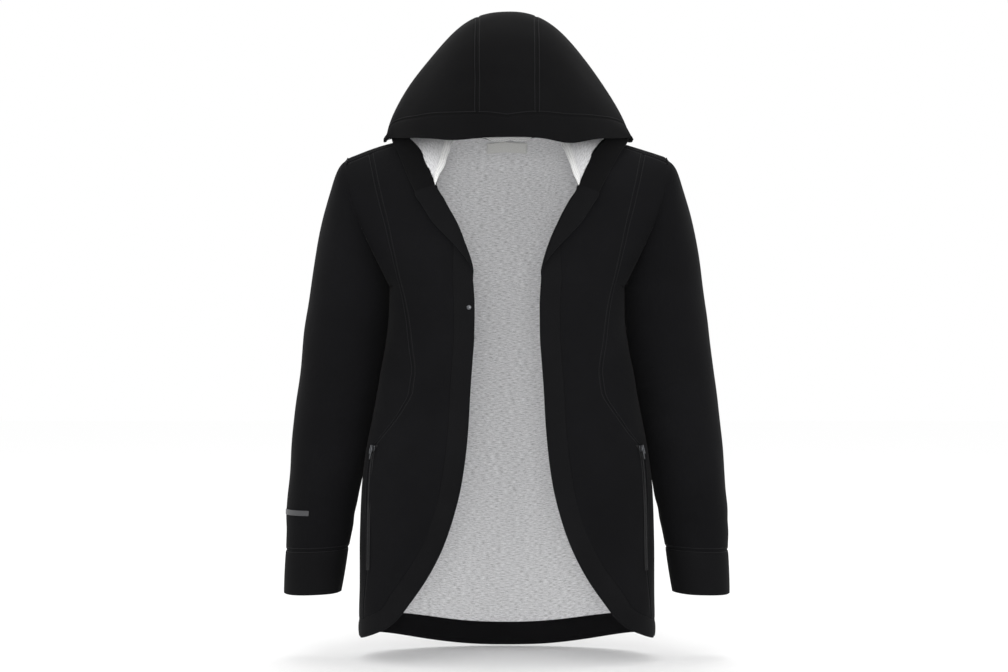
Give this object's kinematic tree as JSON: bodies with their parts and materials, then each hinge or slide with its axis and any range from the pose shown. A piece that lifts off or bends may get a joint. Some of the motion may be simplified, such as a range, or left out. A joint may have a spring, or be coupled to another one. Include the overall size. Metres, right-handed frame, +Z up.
{
  "type": "hooded open-front jacket",
  "caption": "Long hooded jersey jacket worn open over an invisible body, with a cutaway front, banded edges and zipped side pockets.",
  "frame": {"origin": "middle of the neck opening, level with the side of the neck, where the wearer's neck and shoulders hold the jacket", "axes": "+Z up, the open front faces -Y, the wearer's left side is +X"},
  "size_m": [0.67, 0.297, 0.9639],
  "materials": {
    "shell_cloth": "matt double-face jersey, black outside",
    "band_cloth": "matt jersey, doubled, black on both faces",
    "hood_cloth": "matt double-face jersey, black outside",
    "lining_face": "grey marl inner face of the double-face jersey",
    "zip_tape": "fine woven tape with coil teeth",
    "zip_metal": "satin gunmetal",
    "reflective_tape": "smooth grey bonded strip",
    "label_cloth": "plain white woven tape, blank",
    "sewing_thread": "black sewing thread"
  },
  "bodies": {
    "garment": {"back": "shell_cloth", "corner_band_left": "band_cloth", "corner_band_right": "band_cloth", "cuff_left": "band_cloth", "cuff_right": "band_cloth", "front_band_left": "band_cloth", "front_band_right": "band_cloth", "front_left": "shell_cloth", "front_right": "shell_cloth", "hem_band": "band_cloth", "hood_band": "band_cloth", "hood_centre": "hood_cloth", "hood_side_left": "hood_cloth", "hood_side_right": "hood_cloth", "neck_label": "label_cloth", "pocket_zip_left": "zip_tape", "pocket_zip_right": "zip_tape", "press_stud": "zip_metal", "side_front_left": "shell_cloth", "side_front_right": "shell_cloth", "sleeve_left": "shell_cloth", "sleeve_right": "shell_cloth", "slider_left": "zip_metal", "slider_right": "zip_metal", "wrist_strip": "reflective_tape"},
    "pull_left": {"pull_left": "zip_metal"},
    "pull_right": {"pull_right": "zip_metal"}
  },
  "joints": [
    {"name": "pull_left_swing", "type": "hinge", "parent": "garment", "child": "pull_left", "pos_m": [0.19995, -0.06379, -0.44571], "axis": [-0.5051, -0.8586, -0.0875], "range_deg": [0, 110]},
    {"name": "pull_right_swing", "type": "hinge", "parent": "garment", "child": "pull_right", "pos_m": [-0.19995, -0.06379, -0.44571], "axis": [-0.5051, 0.8586, 0.0875], "range_deg": [0, 110]}
  ]
}
